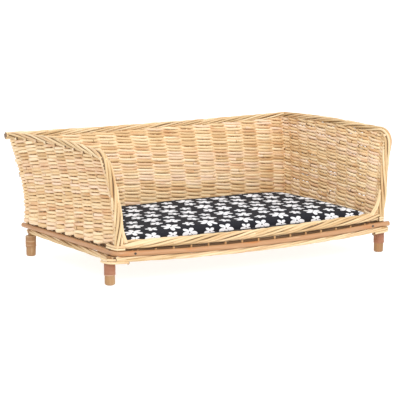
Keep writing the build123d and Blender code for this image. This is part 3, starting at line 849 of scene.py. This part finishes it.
def brace_post(rods, sign):
    """Two strands that run from a front post down to the sill roll. The left pair is steeper."""
    spread = (18 if sign < 0 else 36) * MM
    for part in (0, 1):
        top_z = (172 - 14 * part) * MM
        top_x, top_y = post_xy(top_z)
        foot_x = POST_FOOT[0] - spread + 6 * MM * part
        points = (
            (sign * (top_x - 6 * MM), top_y - 7 * MM, top_z),
            (sign * blend(top_x, foot_x, 0.35), top_y - 9 * MM, blend(top_z, SILL_Z, 0.45)),
            (sign * blend(top_x, foot_x, 0.7), top_y - 9 * MM, blend(top_z, SILL_Z, 0.75)),
            (sign * foot_x, top_y - 8 * MM, SILL_Z + 5 * MM),
        )
        lap(rods, points, 3.1 * MM, ease=4, across=(0, 1, 0))


def lap_post(rods, sign):
    """Two strands that wrap a front post's foot and run back along the side."""
    front = POST_FOOT[1] - POST_ROLL_R - 1 * MM
    # Outwards, backwards and upwards from the front of the post's roll
    bends = np.array(((-10, 1, 0), (6, 2, 0), (13, 14, 0), (15, 46, 1))) * MM
    for height in (91 * MM, 97 * MM):
        lap(rods, (bends + (POST_FOOT[0], front, height)) * (sign, 1, 1), 2.9 * MM)


def build_corner_laps():
    rods = Rods()
    for sign in (-1, 1):
        lap_leg(rods, sign)
        brace_post(rods, sign)
        lap_post(rods, sign)
    rods.make("corner_laps", "basket", "border_willow", border_willow)


# -------- hoop, legs, floor


def make_hoop(name, path, tint, node):
    rods = Rods(14)
    rods.add(path, HOOP_R * (1 + wander(len(path), 9, 0.035)), tint)
    rods.make(name, "basket", "hoop_willow", hoop_willow, node)


def build_hoop():
    """Two bent rods, each an L: front and left, and back and right."""
    tail, kick, nose, butt = 14 * MM, 8 * MM, 11 * MM, 13 * MM
    bend_x, bend_y = HOOP_FRONT[0] - HOOP_BEND, HOOP_FRONT[1] + HOOP_BEND
    pull = 30 * MM
    front = front_line(bend_x, 0, HOOP_Z, HOOP_SAG, 90)
    left = np.linspace((-HOOP_BACK[0], HOOP_BACK[1] + tail, HOOP_Z), (-HOOP_FRONT[0], bend_y, HOOP_Z), 60)
    left[:, 0] -= kick * np.linspace(1, 0, 60) ** 2
    corner = hermite(left[-1], (0, -pull, 0), front[0], (pull, 0, -1 * MM), 10)
    end = np.linspace(front[-1], (HOOP_FRONT[0] + nose, HOOP_FRONT[1], HOOP_Z), 6)
    first = np.concatenate((left[:-1], corner, front[1:-1], end))
    make_hoop("hoop_front_left", first, 0.35, "base_hoop_front_left")

    bend_x, bend_y = HOOP_BACK[0] - HOOP_BEND, HOOP_BACK[1] - HOOP_BEND
    back = np.linspace((butt - HOOP_BACK[0], HOOP_BACK[1], HOOP_Z), (bend_x, HOOP_BACK[1], HOOP_Z), 90)
    right = np.linspace((HOOP_BACK[0], bend_y, HOOP_Z), (HOOP_FRONT[0], HOOP_FRONT[1] + butt, HOOP_Z), 60)
    corner = hermite(back[-1], (pull, 0, 0), right[0], (0, -pull, 0), 10)
    second = np.concatenate((back[:-1], corner, right[1:]))
    make_hoop("hoop_back_right", second, 0.75, "base_hoop_back_right")


def build_leg(corner):
    """A stick with a worn foot edge and a turned-down tenon."""
    x, y, radius = leg_place(corner)
    tenon_r = 7 * MM
    rods = Rods(28)
    # Rings of the worn foot edge, of the stick and of the tenon
    z = np.concatenate((np.linspace(0, 3.5, 6), np.linspace(6, 54, 17), (54.6, 73))) * MM
    size = radius * (1 + wander(len(z), 2, 0.02))
    size[:6] *= 1 - 0.22 * (1 - np.linspace(0, 1, 6)) ** 2
    size[-2:] = tenon_r
    # The foot's close rings keep one offset, so that they stay level
    drift = np.interp(np.maximum(z, 6 * MM), np.linspace(0, 73 * MM, 12), wander(12, 1, 0.6 * MM))
    rods.add(line_of(x + drift, y, z), size, rng.uniform(), across=(1, 0, 0))
    rods.make(f"stick_{corner}", "basket", "leg_wood", leg_wood, f"leg_{corner}")


def build_binding(corner):
    """One strand wound round a leg's top, redder on the front legs."""
    x, y, radius = leg_place(corner)
    low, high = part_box(f"leg_binding_{corner}")
    strand_r, pitch = 1.12 * MM, 2.1 * MM
    tint = 0.8 if corner.startswith("front") else 0.1
    turns = (high.z - low.z - pitch) / pitch
    turn = np.linspace(0, 2 * math.pi * turns, int(turns * 22))
    rise = low.z + pitch / 2 + pitch * turn / (2 * math.pi)
    hug = radius + 0.75 * MM + wander(len(turn), 12, 0.12 * MM)
    rods = Rods(6)
    rods.add(line_of(x + hug * np.cos(turn), y + hug * np.sin(turn), rise), strand_r, tint)
    rods.make(f"skein_{corner}", "basket", "leg_skein", leg_skein, f"leg_binding_{corner}")


def build_legs():
    for corner in ("front_left", "front_right", "back_left", "back_right"):
        build_leg(corner)
        build_binding(corner)


def build_floor():
    """Weavers run side to side, over and under the bars and sticks that run front to back."""
    weaver, spacing, swing = 2.9 * MM, 5.1 * MM, 4.6 * MM
    stick_count, stick_r = 11, 4.5 * MM
    fillers = 6             # bowed weavers between the front hoop and the first straight one
    low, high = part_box("floor_weave")
    stick_low, stick_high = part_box("floor_sticks")
    bar_low, bar_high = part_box("floor_bar_right")
    sticks = np.linspace(stick_low.x + stick_r, stick_high.x - stick_r, stick_count)
    bar = (bar_low.x + bar_high.x) / 2
    crossings = np.concatenate(([-bar], sticks, [bar]))
    middle = (low.z + high.z) / 2
    back_y = HOOP_BACK[1] - HOOP_R - weaver
    count = int((back_y - low.y) / spacing)
    rods = Rods(6)
    marks = np.linspace(-0.35, len(crossings) - 0.65, 79)
    x = np.interp(marks, np.arange(len(crossings)), crossings)
    reach = HOOP_FRONT[0] - HOOP_R - 1 * MM
    x = np.concatenate(([-reach], x[1:-1], [reach]))
    for row in range(count):
        y = blend(low.y + 4 * MM, back_y, row / (count - 1)) + wander(len(x), 4, 0.5 * MM)
        over = np.cos(math.pi * (marks + row)) * swing
        rods.add(line_of(x, y, middle + over), weaver, rng.uniform())
    for row in range(fillers):
        bowed = front_line(bar + 20 * MM, 11 * MM, HOOP_Z - 3 * MM, HOOP_SAG, len(x))
        path = blend(bowed, line_of(bowed[:, 0], low.y, middle), row / (fillers - 1))
        path[:, 2] += np.cos(math.pi * (marks + row)) * 2.5 * MM
        rods.add(path, weaver * 1.15, rng.uniform())
    rods.make("floor_rods", "basket", "weave_willow", weave_willow, "floor_weave")


# -------- cushion


def rise_of(edge):
    return abs(edge.verts[0].co.z - edge.verts[1].co.z)


def start_pad():
    """The sewn cover before it is filled: a thin box with rounded corners, remeshed."""
    slack = (3 * MM, 3 * MM, 8 * MM)
    corner_r, edge_r = 20 * MM, 7 * MM
    size = pad_high - pad_low
    mesh = bpy.data.meshes.new("pad_start")
    block = bmesh.new()
    bmesh.ops.create_cube(block, size=1)
    for vert in block.verts:
        vert.co = [vert.co[axis] * (size[axis] - slack[axis]) for axis in range(3)]
    upright = [e for e in block.edges if rise_of(e) > MM]
    bmesh.ops.bevel(block, geom=upright, offset=corner_r, segments=6, affect="EDGES", profile=0.5)
    level = [e for e in block.edges if rise_of(e) < 0.1 * MM and e.is_manifold and e.calc_face_angle() > 1]
    bmesh.ops.bevel(block, geom=level, offset=edge_r, segments=3, affect="EDGES", profile=0.5)
    bmesh.ops.translate(block, verts=block.verts, vec=pad_middle - Vector((0, 0, 1 * MM)))
    block.to_mesh(mesh)
    block.free()
    pad = add_object("pad_start", mesh)
    remesh = pad.modifiers.new("voxels", "REMESH")
    remesh.mode = "VOXEL"
    remesh.voxel_size = 6 * MM
    return pad


def baked(obj):
    """The object's mesh with its modifiers applied."""
    depsgraph = bpy.context.evaluated_depsgraph_get()
    return bpy.data.meshes.new_from_object(obj.evaluated_get(depsgraph))


def vertices(mesh):
    points = np.zeros(len(mesh.vertices) * 3, np.float32)
    mesh.vertices.foreach_get("co", points)
    return points.reshape(-1, 3).astype(float)


def inflate(pad):
    """Cloth simulation: the cover swells under pressure, with its zip side held
    flat."""
    mesh = baked(pad)
    pad.modifiers.clear()
    pad.data = mesh
    before = vertices(mesh)
    held = pad.vertex_groups.new(name="zip_side")
    zip_side = np.nonzero(before[:, 1] > pad_high.y - 6 * MM)[0]
    held.add([int(i) for i in zip_side], 1.0, "REPLACE")
    cloth = pad.modifiers.new("cloth", "CLOTH")
    cloth.settings.quality = 4
    cloth.settings.mass = 0.3
    cloth.settings.tension_stiffness = 12
    cloth.settings.compression_stiffness = 12
    cloth.settings.bending_stiffness = 0.6
    cloth.settings.use_pressure = True
    cloth.settings.uniform_pressure_force = 0.5
    cloth.settings.effector_weights.gravity = 0
    cloth.settings.vertex_group_mass = "zip_side"
    cloth.collision_settings.use_collision = False
    for frame_number in range(1, 21):
        bpy.context.scene.frame_set(frame_number)
    swollen = baked(pad)
    pad.modifiers.clear()
    pad.data = swollen
    after = vertices(swollen)
    bpy.context.scene.frame_set(1)
    return before, after


def shape_filling(points):
    """Loose filling: a low crown with hollows and swells, and sides that pull in between the corners."""
    crown, edge_drop, side_pull, front_pull = 7 * MM, 4 * MM, 4 * MM, 3 * MM
    top_share = np.clip((points[:, 2] - pad_low.z) / (pad_high.z - pad_low.z), 0, 1)
    u, v = ((points - pad_middle) / pad_reach)[:, :2].T
    swell = 1.6 * np.sin(5.1 * u + 1.3) * np.sin(3.7 * v + 0.4) + 1.1 * np.sin(9.3 * u + 2.0 * v)
    from_edge = np.clip(1 - np.maximum(np.abs(u), np.abs(v)), 0, 0.25) / 0.25
    dome = (1 - np.abs(u) ** 3.5) * (1 - np.abs(v) ** 9)
    points[:, 2] += top_share * (from_edge * swell * MM + crown * dome - edge_drop)
    points[:, 2] = np.maximum(points[:, 2], pad_low.z + 0.4 * MM)
    points[:, 0] -= np.sign(u) * np.abs(u) ** 8 * side_pull * (1 - v**2)
    points[:, 1] += np.clip(-v, 0, 1) ** 8 * front_pull * (1 - u**2)


def build_cushion():
    pad = start_pad()
    before, after = inflate(pad)
    move = after - before
    far = np.linalg.norm(move, axis=1)
    points = before + move * np.minimum(1, CUSHION_CAP / np.maximum(far, 1e-9))[:, None]
    points[:, 1] = np.minimum(points[:, 1], pad_high.y)
    shape_filling(points)
    pad.data.vertices.foreach_set("co", points.astype(np.float32).ravel())
    pad.data.update()
    refine = pad.modifiers.new("refine", "SUBSURF")
    refine.levels = refine.render_levels = 1
    mesh = baked(pad)
    bpy.data.objects.remove(pad)
    mesh.name = "cushion"
    mesh.materials.clear()
    mesh.polygons.foreach_set("use_smooth", [True] * len(mesh.polygons))
    stands_for = ("cushion_cover", "cushion_filling")
    cover = place_piece("cushion", mesh, "cushion", "printed_cotton", printed, *stands_for)
    lay_print(mesh)
    sew_edge(cover)


def lay_print(mesh):
    """Unrolls the top over the sides, so the printed pattern runs down them without stretch."""
    cloth = vertices(mesh)
    normals = np.zeros(len(mesh.vertices) * 3, np.float32)
    mesh.vertices.foreach_get("normal", normals)
    level = normals.reshape(-1, 3)[:, :2]
    drop = np.maximum(0, pad_high.z - cloth[:, 2])
    total = np.maximum(np.abs(level).sum(axis=1), 1e-6)
    steep = np.clip(1.4 * np.linalg.norm(level, axis=1), 0, 1)
    cloth[:, :2] += level * (drop * steep / total)[:, None]
    cloth[:, 2] = 0
    layer = mesh.attributes.new("cloth", "FLOAT_VECTOR", "POINT")
    layer.data.foreach_set("vector", cloth.ravel())


def sew_edge(cover):
    """A narrow seam round the front and sides, a little below half way up, laid on the swollen cover."""
    seam_r, seam_share, outside = 1.5 * MM, 0.42, 1.82
    tree = BVHTree.FromObject(cover, bpy.context.evaluated_depsgraph_get())
    middle = Vector((pad_middle.x, pad_middle.y, blend(pad_low.z, pad_high.z, seam_share)))
    marks = []
    for turn in np.linspace(math.radians(148), math.radians(392), 420):
        aim = Vector((math.cos(turn) * pad_reach.x, math.sin(turn) * pad_reach.y, 0))
        hit = tree.ray_cast(middle + aim * outside, -aim.normalized())[0]
        if hit:
            marks.append(hit[:])
    rods = Rods()
    rods.add(eased(even(np.array(marks), 5 * MM), 1), seam_r, 0.5)
    rods.make("cushion_seam", "cushion", "printed_cotton", black_cotton)


def build_zip():
    """The nylon coil as a wound monofilament."""
    pitch, wire = 1.6 * MM, 0.36 * MM
    low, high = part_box("zip_coil")
    middle = (low + high) / 2
    turns = (high.x - low.x) / pitch
    turn = np.linspace(0, 2 * math.pi * turns, int(turns * 8))
    wide = (high.z - low.z) / 2 - wire
    thick = (high.y - low.y) / 2 - wire
    x = low.x + pitch * turn / (2 * math.pi)
    path = line_of(x, middle.y + thick * np.sin(turn), middle.z + wide * np.cos(turn))
    rods = Rods(5)
    rods.add(path, wire, 0.5, across=(1, 0, 0))
    rods.make("coil", "cushion", "zip_coil", coil_nylon, "zip_coil")


# -------- carried-over CAD nodes

coil_nylon = worn_metal("zip_coil", (30, 30, 34), (52, 52, 58), 0.35)
dull_steel = worn_metal("nail_steel", (74, 68, 64), (112, 104, 98), 0.45)
dark_nickel = worn_metal("zip_metal", (96, 96, 100), (150, 150, 154), 0.3)
PALE_STICK = ((0.3, (214, 164, 108)), (0.5, (232, 190, 134)), (0.7, (206, 150, 92)))
BROWN_STICK = ((0.3, (172, 118, 72)), (0.5, (196, 142, 92)), (0.7, (158, 102, 60)))
upright_stick = stick_wood("stake_wood", 2, PALE_STICK)
floor_stick = stick_wood("floor_stick_wood", 1, BROWN_STICK)

CARRIED = {
    upright_stick: ("front_sill_stakes",),
    floor_stick: ("floor_bar_left", "floor_bar_right", "floor_sticks"),
    dull_steel: ("hoop_nails", "leg_nails", "leg_tacks"),
    dark_nickel: ("zip_slider", "zip_pull", "zip_stops"),
    black_cotton: ("zip_tapes",),
}


def dress_cad_nodes():
    for material, names in CARRIED.items():
        for name in names:
            mesh = nodes[name].data
            mesh.materials.clear()
            mesh.materials.append(material)


# -------- studio


def build_studio():
    g = Graph("studio_floor")
    place = g.add("ShaderNodeTexCoord").outputs["Object"]
    shade = g.mix(g.noise(place, (2, 2, 2), 2), (0.4, 0.4, 0.4, 1), (0.36, 0.36, 0.36, 1))
    g.finish(shade, 0.9)
    g.put(g.surface.inputs["Emission Color"], (1, 1, 1, 1))
    g.put(g.surface.inputs["Emission Strength"], 0.8)
    mesh = bpy.data.meshes.new("studio_floor")
    half = 30.0
    corners = [(-half, -half, 0), (half, -half, 0), (half, half, 0), (-half, half, 0)]
    mesh.from_pydata(corners, [], [(0, 1, 2, 3)])
    mesh.materials.append(g.material)
    add_object("studio_floor", mesh)

    world = bpy.data.worlds.new("studio")
    world.use_nodes = True
    background = world.node_tree.nodes["Background"]
    background.inputs["Color"].default_value = (1, 1, 1, 1)
    background.inputs["Strength"].default_value = 1.05
    bpy.context.scene.world = world
    bpy.context.scene.view_settings.view_transform = "Standard"

    aim = Vector((0, 0, 0.15))
    for name, place, size, watts in (
        ("key", (-0.9, -3.0, 2.2), 1.6, 62),
        ("fill", (2.4, -1.8, 1.8), 2.0, 8),
        ("top", (0.3, 0.6, 2.8), 2.0, 20),
    ):
        light = bpy.data.lights.new(name, "AREA")
        light.size = size
        light.energy = watts
        lamp = add_object(name, light)
        lamp.location = place
        lamp.rotation_euler = (aim - Vector(place)).to_track_quat("-Z", "Y").to_euler()


def build_camera():
    """A long lens, from the left of the front and a little above."""
    place = (-2.511, -4.087, 0.943)
    forward = Vector((0.5146, 0.8415, -0.1647)).normalized()
    right = forward.cross(Vector((0.0859, 0.1405, 0.9864))).normalized()
    up = right.cross(forward)
    camera = bpy.data.cameras.new("camera")
    camera.sensor_width = 36
    camera.lens = 165.56
    camera.clip_end = 100
    eye = add_object("camera", camera)
    turn = Matrix((right, up, -forward)).transposed()
    eye.matrix_world = Matrix.Translation(place) @ turn.to_4x4()
    bpy.context.scene.camera = eye


build_cushion()
build_zip()
build_walls()
build_stakes()
build_borders()
build_foot_border()
build_corner_laps()
build_hoop()
build_legs()
build_floor()
dress_cad_nodes()
build_studio()
build_camera()
